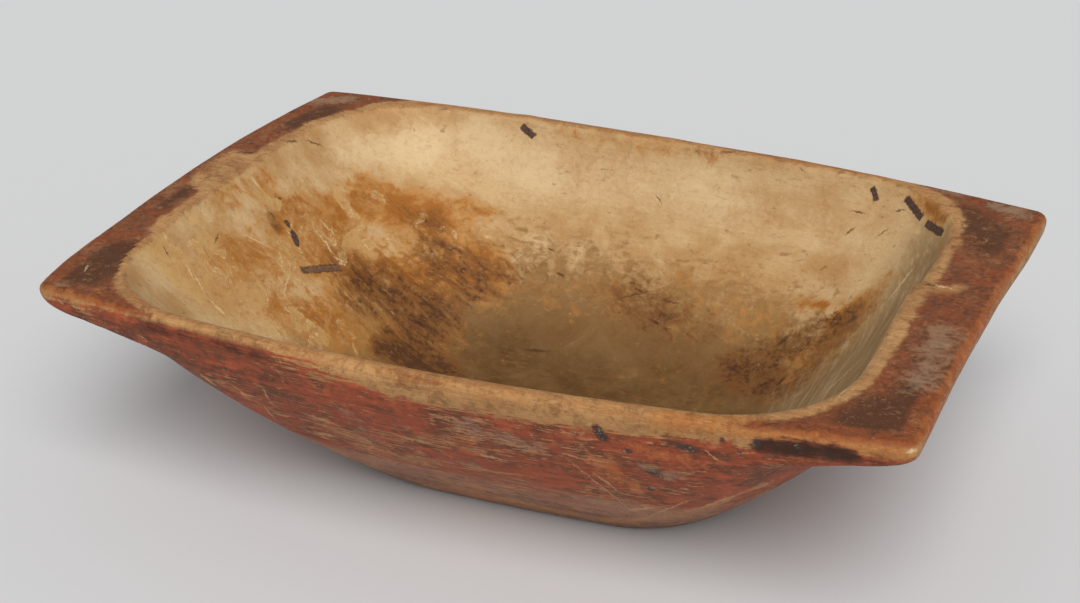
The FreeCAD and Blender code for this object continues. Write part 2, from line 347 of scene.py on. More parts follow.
troughMarks = {
    "amber": {                           # orange-brown stain in the hollow
        "leftWall": ([(225, 255), (300, 250)], 70, 0.55),
        "leftHigh": ([(285, 210), (335, 215)], 46, 0.70),
        "leftLow": ([(230, 300), (320, 318)], 54, 0.54),
        "leftEnd": ([(160, 250), (215, 298)], 34, 0.58),
        "leftLip": ([(215, 195), (262, 182)], 30, 0.42),
        "backBlot": ([(368, 198), (440, 222)], 46, 0.90),
        "backBlotHeart": ([(395, 207), (430, 214)], 26, 0.95),
        "backTail": ([(464, 206), (486, 212)], 18, 0.60),
        "lowBack": ([(350, 268), (480, 272)], 66, 0.80),
        "floorLeft": ([(330, 330), (430, 340)], 60, 0.46),
        "middleSmudge": ([(550, 288), (620, 300)], 46, 0.26),
        "rightSmudge": ([(690, 300), (770, 330)], 56, 0.30),
        "rightFoot": ([(795, 382), (850, 322)], 48, 0.90),
        "rightWall": ([(850, 318), (890, 280)], 30, 0.55),
        "rightSquare": ([(803, 305), (824, 305)], 11, 0.80),
        "backRightCorner": ([(925, 196), (942, 216)], 26, 0.80),
        "underBackRim": ([(560, 132), (720, 155)], 16, 0.40),
    },
    "umber": {                           # dark brown specks and blotches in the hollow
        "leftField": ([(365, 285), (430, 305), (415, 342)], 78, 0.78),
        "backField": ([(440, 248), (490, 276)], 50, 0.60),
        "floorEdge": ([(385, 350), (442, 370)], 30, 0.80),
        "middleBand": ([(520, 275), (600, 285), (665, 312)], 52, 0.30),
        "rightBand": ([(640, 305), (705, 342), (765, 372)], 62, 0.42),
        "rightFoot": ([(733, 372), (782, 390)], 34, 0.60),
        "rightCorner": ([(772, 352), (812, 330)], 34, 0.52),
        "rightFootHigh": ([(800, 385), (850, 322)], 42, 0.56),
        "rightWall": ([(812, 345), (862, 300)], 30, 0.36),
        "backRightCorner": ([(927, 200), (940, 214)], 22, 0.36),
        "blotHeart": ([(402, 212), (432, 222)], 28, 0.46),
        "grubbedPatch": ([(271, 216), (277, 226)], 15, 0.72),
        "backRimStain": ([(688, 148), (728, 152)], 9, 0.55),
    },
    "pale": {                            # soft cream in the hollow
        "roundSpot": ([(478, 131), (490, 142)], 28, 0.85),
        "backTop": ([(425, 140), (530, 158)], 56, 0.50),
        "backLeft": ([(345, 152), (415, 152)], 46, 0.60),
        "leftEnd": ([(150, 245), (200, 285), (235, 310)], 38, 0.45),
        "backMiddle": ([(540, 170), (700, 190)], 80, 0.42),
        "backRight": ([(720, 200), (860, 230)], 60, 0.30),
    },
    "crust": {                           # flaked cream layer with ragged edges
        "leftWall": ([(190, 270), (300, 240), (340, 250)], 80, 0.44),
        "lowLeft": ([(250, 320), (340, 335)], 60, 0.42),
        "back": ([(390, 215), (470, 240)], 60, 0.42),
        "leftEnd": ([(150, 245), (185, 275), (222, 312)], 34, 0.72),
        "leftEndHigh": ([(195, 216), (206, 242)], 22, 0.60),
        "leftFork": ([(236, 303), (256, 290)], 14, 0.80),
        "leftScuff": ([(258, 194), (277, 205)], 10, 0.85),
        "leftScuffHigh": ([(302, 184), (310, 196)], 10, 0.80),
        "backScuff": ([(338, 194), (352, 214)], 13, 0.75),
        "lowScuff": ([(355, 242), (368, 252)], 18, 0.70),
    },
    "paint": {                           # red-brown paint left on top
        "leftLug": ([(66, 285), (110, 262), (140, 244)], 46, 0.80),
        "leftPatch": ([(160, 206), (188, 189)], 20, 1.0),
        "backLeftCorner": ([(285, 122), (345, 103)], 32, 0.90),
        "rightLugFront": ([(868, 424), (915, 405), (935, 360)], 50, 0.75),
        "rightLugBack": ([(1000, 232), (975, 300)], 54, 0.85),
        "leftBare": ([(200, 182), (235, 156)], 26, -0.75),
        "rightBare": ([(945, 292), (962, 288)], 16, -0.55),
    },
    "dark": {                            # near-black dirt over the paint
        "leftLug": ([(60, 288), (92, 272), (128, 252)], 38, 0.80),
        "rightLugFront": ([(862, 425), (890, 410), (916, 430), (928, 396)], 42, 0.85),
        "rightLugBack": ([(965, 216), (1000, 246)], 46, 0.60),
        "backLeftCorner": ([(290, 124), (330, 110)], 24, 0.70),
        "leftPatch": ([(160, 206), (186, 190)], 18, 0.62),
    },
    "grey": {                            # grey worn haze
        "rightLug": ([(922, 382), (948, 335)], 36, 0.76),
        "backRightCorner": ([(1022, 214), (996, 206)], 20, 0.95),
        "backLeftCorner": ([(318, 101), (352, 99)], 20, 0.85),
        "backRightRim": ([(925, 187), (970, 197)], 14, 0.60),
        "leftLug": ([(58, 290), (76, 282)], 16, 0.60),
        "frontMiddle": ([(462, 425), (535, 446)], 26, 0.62),
        "frontLeft": ([(345, 410), (372, 440)], 24, 0.50),
        "frontLow": ([(420, 455), (480, 468)], 24, 0.50),
        "frontRight": ([(640, 466), (672, 475)], 18, 0.55),
        "bilge": ([(500, 490), (640, 505)], 22, 0.45),
    },
    "orange": {                          # oiled orange on the bare rim, and painted highlights on the front wall
        "frontRimRight": ([(660, 418), (790, 433), (900, 452)], 17, 0.65),
        # the next two are painted highlights on the front wall, below the rim
        "frontGlow": ([(600, 462), (636, 490)], 30, 0.80),
        "frontGlowHigh": ([(640, 448), (690, 462)], 20, 0.60),
        "rightLugEdge": ([(1030, 225), (985, 330), (925, 440)], 12, 0.55),
        "frontRimLeft": ([(250, 335), (400, 370), (520, 392)], 9, 0.25),
        "backRim": ([(420, 103), (600, 128), (760, 152), (880, 176)], 7, 0.80),
    },
    "wear": {                            # paint worn off the outside
        "frontRim": ([(390, 388), (560, 418), (650, 428)], 15, 0.55),
        "frontRimRight": ([(690, 432), (900, 455)], 9, 0.50),
        "underLeftRim": ([(130, 322), (262, 350)], 11, -0.75),
        "bilgeLeft": ([(215, 378), (275, 412)], 16, 0.40),
        "bilge": ([(330, 428), (405, 458), (520, 476)], 24, 0.42),
        "bilgeMiddle": ([(380, 432), (470, 448)], 20, 0.35),
        "baseEdge": ([(500, 498), (600, 520), (690, 512), (770, 482)], 16, 0.55),
        "underLeftRimEnd": ([(262, 350), (335, 368)], 11, -0.45),
        "underRightRim": ([(770, 458), (830, 464), (885, 462)], 11, -0.80),
        "middleStreaks": ([(420, 425), (560, 455)], 34, 0.22),
        "rightLugEdge": ([(1030, 225), (985, 330), (925, 436)], 13, -0.65),
    },
    "held": {                            # paint that has kept its hold on the outside
        "frontLeft": ([(120, 318), (190, 350), (262, 372)], 46, 0.85),
        "underLeftLug": ([(66, 308), (120, 320)], 26, 0.75),
        "underRightLug": ([(850, 462), (905, 462)], 14, 0.70),
        "frontRight": ([(690, 455), (780, 470)], 34, 0.55),
    },
    "soot": {                            # blue-black marks on the outside
        "underLeftRim": ([(150, 326), (200, 337), (258, 351)], 17, 0.60),
        "underRightRim": ([(762, 446), (800, 449), (846, 454)], 16, 0.95),
        "underRightLug": ([(840, 457), (880, 461)], 12, 0.42),
        "frontRight": ([(672, 442), (712, 454)], 12, 0.50),
        "belowRim": ([(596, 426), (604, 438)], 8, 0.80),
    },
}

# small sharp marks, each a slim lens of colour: its two ends, width in millimetres

troughStrokes = {
    "darkFleck": {                       # cuts and specks that hold dirt, and painted shadow under the lip at the notch
        "backA": ((843, 236), (856, 227), 2.6),
        "backB": ((848, 210), (868, 214), 2.2),
        "backC": ((874, 238), (890, 228), 1.5),
        "backD": ((893, 212), (907, 209), 1.8),
        "backE": ((655, 193), (663, 206), 1.6),
        "backF": ((546, 247), (556, 252), 3.2),
        "backG": ((799, 167), (805, 172), 1.8),
        "middleA": ((634, 288), (648, 294), 2.2),
        "middleB": ((648, 318), (662, 326), 3.6),
        "middleC": ((664, 301), (680, 304), 2.2),
        "middleD": ((555, 272), (566, 277), 3.8),
        "middleE": ((612, 300), (655, 290), 2.0),
        "floorStroke": ((502, 384), (534, 372), 2.8),
        "floorSmear": ((516, 349), (556, 352), 4.5),
        "floorCut": ((724, 366), (744, 374), 5.0),
        "floorLeft": ((395, 362), (445, 374), 5.5),
        "floorLeftHigh": ((408, 318), (432, 330), 5.0),
        "leftDot": ((278, 197), (282, 199), 2.8),
        "leftTick": ((214, 246), (219, 232), 2.2),
        "leftTickLow": ((162, 244), (170, 258), 2.0),
        "leftLipA": ((230, 152), (262, 153), 4.0),
        "leftLipB": ((282, 142), (300, 141), 3.6),
        "leftLipC": ((303, 139), (326, 147), 2.2),
        "rightFootA": ((796, 330), (772, 350), 5.0),
        "rightFootB": ((774, 388), (790, 372), 3.2),
        # painted shadow under the overhanging lip, where it steps at the split
        "notch": ((923, 284), (936, 286), 3.2),
        "rimTick": ((736, 152), (720, 152), 2.6),
    },
    "paleLine": {                        # scrapes and splits that show new wood
        "leftRidgeA": ((193, 272), (206, 296), 1.8),
        "leftRidgeB": ((206, 296), (228, 318), 1.8),
        "leftRidgeC": ((185, 262), (196, 284), 1.5),
        "leftSpan": ((238, 232), (276, 250), 1.4),
        "leftSpanHigh": ((250, 176), (262, 190), 2.0),
        "leftLoopA": ((325, 238), (332, 256), 1.6),
        "leftLoopB": ((332, 256), (345, 262), 1.6),
        "leftLoopC": ((290, 272), (283, 296), 1.6),
        "amberSplit": ((318, 218), (336, 236), 1.8),
        "rightScrapeA": ((945, 250), (905, 290), 1.4),
        "rightScrapeB": ((918, 262), (884, 306), 1.6),
        "rightScrapeC": ((880, 352), (832, 404), 2.4),
        "rightScrapeD": ((868, 352), (815, 402), 1.6),
        "notchCrack": ((930, 284), (958, 290), 1.1),
        "cornerChip": ((906, 452), (918, 450), 4.0),
        "lugNick": ((85, 272), (88, 264), 2.0),
    },
    "scratch": {                         # scratches through the red paint, and a painted glint near the base
        "frontA": ((556, 450), (634, 512), 2.0),
        "frontB": ((590, 470), (622, 494), 1.5),
        "frontC": ((702, 448), (722, 464), 1.0),
        "frontD": ((560, 452), (590, 462), 1.4),
        # a painted glint near the base
        "baseGlint": ((626, 511), (656, 507), 3.0),
        "bilgeA": ((262, 404), (276, 420), 1.6),
        "bilgeB": ((198, 372), (216, 386), 2.4),
        "bilgeC": ((232, 384), (248, 398), 1.4),
        "bilgeD": ((300, 412), (345, 428), 1.8),
        "bilgeE": ((270, 402), (262, 386), 1.4),
        "middleA": ((395, 436), (440, 446), 1.6),
        "middleB": ((470, 452), (512, 462), 1.8),
        "endA": ((690, 512), (760, 486), 1.6),
        "endB": ((640, 520), (700, 496), 1.6),
    },
    "chip": {                            # blue-black chips in the red paint
        "a": ((594, 425), (606, 441), 7.0),
        "b": ((622, 450), (634, 453), 5.0),
        "c": ((672, 443), (702, 454), 6.5),
        "d": ((737, 450), (743, 456), 4.4),
        "e": ((754, 440), (759, 446), 5.0),
        "f": ((719, 438), (725, 442), 4.0),
        "g": ((640, 470), (668, 477), 3.4),
        "h": ((645, 487), (655, 491), 3.6),
        "i": ((795, 445), (801, 450), 4.0),
    },
}

strokeForm = {
    "depth": 0.009,                      # metres
    "ends": 0.001,                       # added to each half of a stroke's length
    "shake": 0.0036,                     # makes the outlines ragged
    "shakeScale": 330.0,
    "shakeDetail": 2.0,
}

troughSpread = {                         # millimetres over which an amount grows from 0 to 1
    "paint": (2, 15),                    # from the lip outwards, and the others down from the rim
    "combedAndShaded": (4, 26),
    "wear": (1, 33),                     # here it fades
    # the next two darken the hollow with depth: partly the wood's own patina and grease, partly painted shade
    # on the floor under the front wall
    "patinaAndShade": (45, 155),
    "shade": (85, 180),
    "bilge": (70, 175),
}
topPaintShare = 0.90
hollowStain = 0.12                       # a little amber everywhere
rightEndTurn = (0.46, 0.64)              # how squarely the right end wall looks along the trough; there it gets scrape streaks and a darker tan that is painted shade


def onSkin(pixel):
    spot = solidTree.ray_cast(eyePoint(), pixelRay(*pixel))[0]
    if spot is None:
        raise ValueError(f"no wood at pixel {pixel}")
    return spot


def pathGap(spots):
    return np.min([stretchGap(place, a, b) for a, b in zip(spots, spots[1:])], axis=0)


def paintMarks(amounts):
    for tone, marks in troughMarks.items():
        for path, radius, strength in marks.values():
            spots = [np.array(onSkin(pixel)) for pixel in path]
            nearest = np.argmin(np.linalg.norm(place - spots[0], axis=1))
            fall = (1 - ease(pathGap(spots), 0, radius / 1000)) * (inHollow == inHollow[nearest])
            if strength > 0:
                amounts[tone] = 1 - (1 - amounts[tone]) * (1 - strength * fall)
            else:
                amounts[tone] = amounts[tone] * (1 + strength * fall)


def spread(amount, values):
    low, high = troughSpread[amount]
    return ease(values, low / 1000, high / 1000)


amounts = {tone: np.zeros(len(place)) for tone in troughMarks}
amounts["paint"] = topPaintShare * spread("paint", lipGap) * onTop
amounts["amber"] += hollowStain * inHollow
# the right end wall, picked by the way it faces: scrape streaks, and a darker tan that is painted shade
amounts["combedAndShaded"] = ease(-normal[:, 0], *rightEndTurn) * inHollow * spread("combedAndShaded", drop)
amounts["wear"] = (1 - spread("wear", drop)) * ~inHollow
# darker with depth in the hollow: partly patina and grease, partly painted shade on the floor
amounts["patinaAndShade"] = spread("patinaAndShade", drop) * inHollow
amounts["shade"] = spread("shade", drop) * inHollow
amounts["bilge"] = spread("bilge", drop) * ~inHollow
paintMarks(amounts)
measures = {"lipGap": lipGap, "edgeGap": edgeGap, "hollow": inHollow, "onTop": onTop, "fillGap": fillGap}
for name, values in {**measures, **amounts}.items():
    layer = skin.attributes.new(name, "FLOAT", "POINT")
    layer.data.foreach_set("value", values.astype(np.float32))
print("marks painted:", sum(len(marks) for marks in troughMarks.values()))


# finish of the trough

troughTones = {
    "cream": (0.56, 0.385, 0.197),
    "straw": (0.43, 0.245, 0.100),
    "paleCream": (0.70, 0.54, 0.32),
    "crustCream": (0.63, 0.43, 0.175),
    # the floor's tones, darker with depth: partly grease, partly painted shade
    "floorTan": (0.28, 0.152, 0.054),
    "floorDark": (0.070, 0.031, 0.008),
    "amberLight": (0.47, 0.220, 0.056),
    "amber": (0.29, 0.096, 0.012),
    "rust": (0.165, 0.064, 0.018),
    "umber": (0.055, 0.023, 0.012),
    # painted shade on the right end wall
    "endShadeTan": (0.30, 0.205, 0.105),
    "rimHoney": (0.345, 0.160, 0.056),
    "rimTan": (0.53, 0.300, 0.122),
    "rimOrange": (0.40, 0.145, 0.036),
    "rimDarkBrown": (0.130, 0.064, 0.030),
    "topTan": (0.29, 0.135, 0.062),
    "topPaint": (0.150, 0.049, 0.023),
    "topRed": (0.235, 0.056, 0.018),
    "topDark": (0.056, 0.022, 0.012),
    "greyHaze": (0.30, 0.210, 0.130),
    "brick": (0.305, 0.070, 0.031),
    "brickBright": (0.45, 0.100, 0.041),
    "brickDark": (0.145, 0.040, 0.022),
    "brickBrown": (0.098, 0.044, 0.022),
    "outsideWood": (0.53, 0.285, 0.135),
    "outsideOrange": (0.47, 0.140, 0.042),
    "outsideGrey": (0.265, 0.190, 0.132),
    "bilgeBrown": (0.36, 0.200, 0.132),
    "soot": (0.030, 0.015, 0.011),
    "chip": (0.040, 0.038, 0.039),
}

troughNoise = {                          # size in millimetres along X, Y and Z, detail, roughness, distortion
    "grain": ((95, 4.0, 4.0), 5, 0.62, 0.0),
    "fibre": ((38, 1.7, 1.7), 3, 0.60, 0.0),
    "hair": ((20, 0.9, 0.9), 2, 0.55, 0.0),
    "streak": ((60, 6.5, 6.5), 6, 0.72, 0.0),
    "broad": ((260, 40, 40), 3, 0.50, 0.0),
    "cloud": ((46, 46, 46), 6, 0.62, 0.5),
    "marble": ((30, 30, 30), 7, 0.66, 1.5),
    "patch": ((17, 17, 17), 6, 0.64, 1.2),
    "mottle": ((9.5, 9.5, 9.5), 5, 0.68, 0.8),
    "speck": ((4.4, 4.4, 4.4), 3, 0.60, 0.5),
    "fine": ((2.2, 2.2, 2.2), 2, 0.60, 0.0),
    "flecks": ((13, 3.6, 3.6), 3, 0.55, 0.0),
    "rake": ((30, 3.4, 3.4), 4, 0.64, 0.4),
    "comb": ((5.0, 150, 5.0), 4, 0.60, 0.0),
    "crust": ((34, 26, 26), 3, 0.52, 1.1),
    "blot": ((24, 9, 9), 6, 0.68, 0.7),
    "rub": ((24, 2.3, 2.3), 4, 0.66, 0.2),
}
noiseTurns = {"rake": (0, 34, 0), "blot": (0, 34, 0)}     # degrees, down along the left wall
noiseShift = 0.31                        # metres between the places where the noises are read
noiseSpan = (0.32, 0.68)                 # stretched to run from 0 to 1
mixGain = 1.45                           # gives two mixed noises the contrast of one


def both(first, second, share=0.5):
    return (first * share + second * (1 - share) - 0.5) * mixGain + 0.5


def reach(level, grit, soft):            # above 0 on about the share of the surface that level gives
    return grit + level * (1 + 2 * soft) - (1 + soft)


def cover(level, grit, soft):
    return reach(level, grit, soft).smooth(-soft, soft)


class Brush:                             # the noises, painted amounts and layers of one finish
    def __init__(self, tree):
        self.start = Wire(tree)
        self.place = self.start.node("ShaderNodeTexCoord", output="Object")
        self.made = {}
        tremble = self.start.node("ShaderNodeTexNoise", None, {
            "Vector": self.place, "Scale": strokeForm["shakeScale"],
            "Detail": strokeForm["shakeDetail"]}, "Color")
        self.shaken = self.start.node("ShaderNodeVectorMath", {"operation": "MULTIPLY_ADD"}, {
            0: tremble, 1: [strokeForm["shake"]] * 3, 2: self.place})

    def noises(self, *names):
        return [self.noise(name) for name in names]

    def amounts(self, *names):
        return [self.amount(name) for name in names]

    def noise(self, name):
        if name not in self.made:
            size, detail, roughness, distortion = troughNoise[name]
            shift = list(troughNoise).index(name) * noiseShift
            turn = [math.radians(angle) for angle in noiseTurns.get(name, (0, 0, 0))]
            moved = self.start.node("ShaderNodeMapping", {"vector_type": "TEXTURE"}, {
                "Vector": self.place, "Location": (shift, shift, shift), "Rotation": turn,
                "Scale": [length / 1000 for length in size]})
            field = self.start.node("ShaderNodeTexNoise", None, {
                "Vector": moved, "Scale": 1.0, "Detail": detail, "Roughness": roughness,
                "Distortion": distortion})
            self.made[name] = field.smooth(*noiseSpan, "LINEAR")
        return self.made[name]

    def rich(self):                      # broad clouds with broken edges
        cloud, marble, mottle = self.noises("cloud", "marble", "mottle")
        return both(cloud, both(marble, mottle), 0.45)

    def amount(self, name):
        return self.start.node("ShaderNodeAttribute", {"attribute_name": name}, output="Fac")

    def tone(self, colour):
        return colour if isinstance(colour, Wire) else (*troughTones[colour], 1)

    def blend(self, under, over, share):
        return self.start.node("ShaderNodeMix", {"data_type": "RGBA"}, {
            "Factor_Float": share, "A_Color": self.tone(under), "B_Color": self.tone(over)}, "Result_Color")

    def lay(self, under, over, level, grit, soft, share=1.0):    # over, where level and grit let it show
        return self.blend(under, over, cover(level, grit, soft) * share)

    def strokes(self, tone, softness=0.6):
        shakeMiddle = Vector([strokeForm["shake"] / 2] * 3)
        total = None
        for first, last, width in troughStrokes[tone].values():
            a, b = onSkin(first), onSkin(last)
            along = (b - a).normalized()
            across = along.cross(eyePoint() - a).normalized()
            turn = Matrix((along, across, along.cross(across))).transposed()
            halfLength = (b - a).length / 2 + strokeForm["ends"]
            local = self.start.node("ShaderNodeMapping", {"vector_type": "TEXTURE"}, {
                "Vector": self.shaken, "Location": (a + b) / 2 + shakeMiddle, "Rotation": turn.to_euler(),
                "Scale": (halfLength, width / 2000, strokeForm["depth"])})
            lens = self.start.node("ShaderNodeTexGradient", {"gradient_type": "SPHERICAL"},
                                   {"Vector": local}, "Fac")
            total = lens if total is None else total.most(lens)
        return total.smooth(0.0, softness)


def hollowWood(brush):                   # cream wood, darker with depth through patina and painted shade, then stains, crust and scrapes
    cloud, marble, patch, mottle, speck = brush.noises("cloud", "marble", "patch", "mottle", "speck")
    broad, fibre, flecks, rake, comb = brush.noises("broad", "fibre", "flecks", "rake", "comb")
    crust, blot = brush.noises("crust", "blot")
    amber, umber, shade, flaked = brush.amounts("amber", "umber", "shade", "crust")
    patinaAndShade, lipGap = brush.amounts("patinaAndShade", "lipGap")
    combedAndShaded = brush.amount("combedAndShaded") * (1 - amber * 0.75)
    band = patinaAndShade * (1 - shade)
    rich = brush.rich()
    grit = both(marble, both(mottle, flecks))
    wood = brush.blend("cream", "straw", both(cloud, broad).smooth(0.15, 0.95))
    wood = brush.blend(wood, "straw", grit.smooth(0.50, 0.90) * 0.40)
    wood = brush.blend(wood, "straw", fibre.smooth(0.55, 0.95) * 0.30)
    wood = brush.blend(wood, "paleCream", rake.smooth(0.62, 0.98) * 0.16)
    wood = brush.lay(wood, "paleCream", brush.amount("pale"), both(cloud, mottle), soft=0.6, share=0.65)
    # darker tan with depth and darkest on the floor: partly patina and grease, partly painted shade under the
    # front wall
    wood = brush.lay(wood, "floorTan", patinaAndShade, both(rich, grit), soft=0.45, share=0.85)
    wood = brush.blend(wood, "floorDark", shade * (0.64 + both(cloud, marble) * 0.38))
    wood = brush.blend(wood, "floorTan", grit.smooth(0.55, 0.95) * shade * 0.30)
    wood = brush.lay(wood, "amberLight", amber, both(rich, patch, 0.45), soft=0.55, share=0.80)
    deep = both(marble, both(patch, mottle))
    wood = brush.lay(wood, "amber", amber * 0.95 - 0.14, deep, soft=0.46, share=0.80)
    wood = brush.lay(wood, "rust", umber, both(blot, mottle, 0.6), soft=0.44, share=0.80)
    blotches = both(blot, both(patch, speck), 0.5)
    wood = brush.lay(wood, "umber", umber * 0.95 - 0.24, blotches, soft=0.32, share=0.80)
    wood = brush.lay(wood, "rust", 0.10 + patinaAndShade * 0.12, both(flecks, patch), soft=0.16, share=0.55)
    level = flaked * (1 - umber * 0.6)
    flake = reach(level, both(crust, both(patch, mottle), 0.55), 0.34).smooth(-0.30, 0.34)
    flakeTone = brush.blend("straw", "crustCream", both(mottle, marble))
    wood = brush.blend(wood, flakeTone, flake * 0.62)
    flakeEdge = 1 - abs(reach(level, both(crust, mottle, 0.80), 0.34)).smooth(0.0, 0.060)
    flakeEdge = flakeEdge * flaked.smooth(0.0, 0.45) * patch.smooth(0.30, 0.80)
    wood = brush.blend(wood, "paleCream", flakeEdge * 0.70)
    wood = brush.lay(wood, "cream", band * band * 0.62, both(patch, flecks), soft=0.34, share=0.60)
    pores = 1 - both(speck, mottle).smooth(0.02, 0.40)
    wood = brush.blend(wood, "rust", pores * (0.04 + amber.most(umber) * 0.24))
    # the right end wall: a darker tan that is painted shade, and pale and dark scrape streaks
    wood = brush.blend(wood, "endShadeTan", combedAndShaded * (0.66 + cloud * 0.30))
    wood = brush.blend(wood, "paleCream", both(comb, marble, 0.65).smooth(0.50, 1.0) * combedAndShaded * 0.36)
    wood = brush.blend(wood, "rust", (1 - both(comb, cloud, 0.65).smooth(0.0, 0.50)) * combedAndShaded * 0.30)
    # darker along a thin band just inside the lip
    underLip = lipGap.smooth(-0.007, -0.002) * (1 - lipGap.smooth(-0.002, 0.0))
    return brush.lay(wood, "rimDarkBrown", underLip * 0.6, both(mottle, patch), soft=0.3, share=0.6)


def bareRim(brush):                      # worn to bare wood and dirtied again
    mottle, broad, streak, fibre, hair = brush.noises("mottle", "broad", "streak", "fibre", "hair")
    rich = brush.rich()
    oiled = brush.amount("orange") * 0.7 + 0.27
    bare = brush.blend("rimHoney", "rimTan", both(broad, streak, 0.4))
    bare = brush.lay(bare, "rimOrange", oiled, both(streak, rich), soft=0.34, share=0.8)
    bare = brush.lay(bare, "rimDarkBrown", 0.38, both(rich, both(streak, mottle)), soft=0.44, share=0.58)
    bare = brush.blend(bare, "rimDarkBrown", fibre.smooth(0.55, 1.0) * 0.16)
    return brush.blend(bare, "paleCream", hair.smooth(0.60, 1.0) * 0.14)


def paintedTop(brush, bare):             # paint, dirt and a grey haze on the flat tops
    cloud, marble, patch, mottle = brush.noises("cloud", "marble", "patch", "mottle")
    speck, fine, blot = brush.noises("speck", "fine", "blot")
    edgeGap, lipGap = brush.amounts("edgeGap", "lipGap")
    rich = brush.rich()
    dirt = (brush.amount("dark") + 0.14) * edgeGap.smooth(0.003, 0.016)
    paint = brush.blend("topPaint", "topTan", both(cloud, mottle).smooth(0.40, 1.1))
    paint = brush.lay(paint, "topRed", 0.50, both(marble, mottle, 0.6), soft=0.34, share=0.85)
    paint = brush.lay(paint, "topDark", dirt, rich, soft=0.60, share=0.82)
    paint = brush.blend(paint, "topTan", both(speck, patch).smooth(0.55, 1.0) * 0.32)
    paint = brush.blend(paint, "topDark", (1 - both(speck, mottle).smooth(0.0, 0.48)) * 0.50)
    paint = brush.lay(paint, "rimOrange", 0.15, both(mottle, patch, 0.6), soft=0.2, share=0.6)
    paint = brush.lay(paint, "greyHaze", 0.13, both(fine, mottle, 0.6), soft=0.14, share=0.5)
    top = brush.lay(bare, paint, brush.amount("paint"), rich, soft=0.50, share=0.95)
    haze = brush.amount("grey") * 0.8 + 0.03
    top = brush.lay(top, "greyHaze", haze, both(rich, both(blot, mottle), 0.45), soft=0.46, share=0.60)
    worn = cover(1 - edgeGap.smooth(-0.006, 0.002), rich, 0.4) * lipGap.smooth(0.012, 0.024)
    return brush.blend(top, brush.blend("topRed", "rimOrange", both(mottle, cloud)), worn * 0.65)


def paintedOutside(brush, bare):         # brick paint, brown low down, greyed and worn along the grain
    cloud, marble, patch, mottle = brush.noises("cloud", "marble", "patch", "mottle")
    broad, streak, grain, hair, rub = brush.noises("broad", "streak", "grain", "hair", "rub")
    bilge, grey, orange, held, soot = brush.amounts("bilge", "grey", "orange", "held", "soot")
    wear = brush.amount("wear") * (1 - held * 0.6)
    rich = brush.rich()
    rubbed = both(rub, streak)
    wood = brush.blend("outsideOrange", "outsideWood", both(streak, mottle))
    paint = brush.blend("brick", "brickDark", both(rich, streak, 0.7).smooth(0.30, 0.85))
    paint = brush.lay(paint, "brickBright", 0.44, both(marble, both(grain, mottle)), soft=0.28, share=0.90)
    paint = brush.lay(paint, "brickBrown", 0.45, both(patch, both(cloud, streak)), soft=0.34, share=0.80)
    paint = brush.lay(paint, "bilgeBrown", bilge * 0.85, both(streak, broad), soft=0.40, share=0.85)
    paint = brush.lay(paint, "brickBrown", bilge * 0.52, both(rubbed, patch, 0.6), soft=0.26, share=0.7)
    hazed = both(both(rub, mottle), rich)
    paint = brush.lay(paint, "outsideGrey", grey * 0.70 + 0.13, hazed, soft=0.30, share=0.64)
    paint = brush.lay(paint, "outsideOrange", orange * 0.8 + 0.04, both(mottle, marble), soft=0.30, share=0.8)
    thin = (wear * 0.55 + bilge * 0.20 + cloud.smooth(0.30, 0.80) * 0.36) * (1 - held)
    paint = brush.lay(paint, wood, thin * 0.72 + 0.08, both(rub, mottle, 0.75), soft=0.12, share=0.85)
    paint = brush.lay(paint, wood, thin * 0.45 + 0.08, both(hair, streak, 0.6), soft=0.12, share=0.7)
    paint = brush.lay(paint, bare, wear, both(rubbed, both(marble, patch), 0.45), soft=0.20)
    smear = both(rubbed, rich, 0.55)
    paint = brush.lay(paint, "brickDark", soot * 1.15, smear, soft=0.5, share=0.8)
    return brush.lay(paint, "soot", soot * 0.82, smear, soft=0.50, share=0.88)


troughSurface = {
    "bumpStrength": 0.4,
    "bumpDepth": 0.0006,                 # metres
    "roughness": 0.48,                   # at its smoothest
    "specular": 0.13,
}


def emptyMaterial(name):
    material = bpy.data.materials.new(name)
    material.use_nodes = True
    material.node_tree.nodes.clear()
    return material


